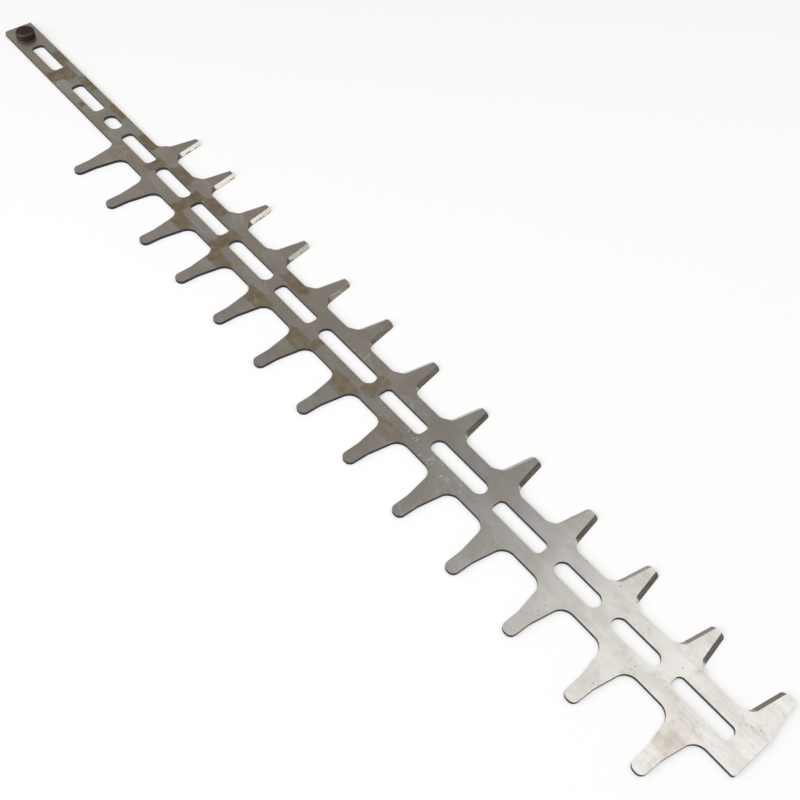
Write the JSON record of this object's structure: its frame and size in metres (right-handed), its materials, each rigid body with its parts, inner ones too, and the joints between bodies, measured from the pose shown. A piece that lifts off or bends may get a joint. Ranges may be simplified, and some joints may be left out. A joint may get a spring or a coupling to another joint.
{
  "type": "hedge trimmer blade",
  "caption": "Long flat hedge trimmer blade: slotted steel strip with bevelled cutting teeth along one edge, blunt guard teeth along the other and a round drive pin on its plain shank.",
  "frame": {"origin": "on the drive pin's axis, in the upper face of the sheet that the pin stands on", "axes": "+X along the blade from the pin towards the tip, +Y towards the bevelled cutting teeth, +Z out of the face that carries the drive pin and the bevels"},
  "size_m": [0.5889, 0.0678, 0.0056],
  "materials": {
    "ground_steel": "satin, fine lengthwise grain, stained",
    "pin_steel": "dark oxidised, matte"
  },
  "bodies": {
    "root": {"blade": "ground_steel", "drive_pin": "pin_steel"}
  },
  "joints": []
}
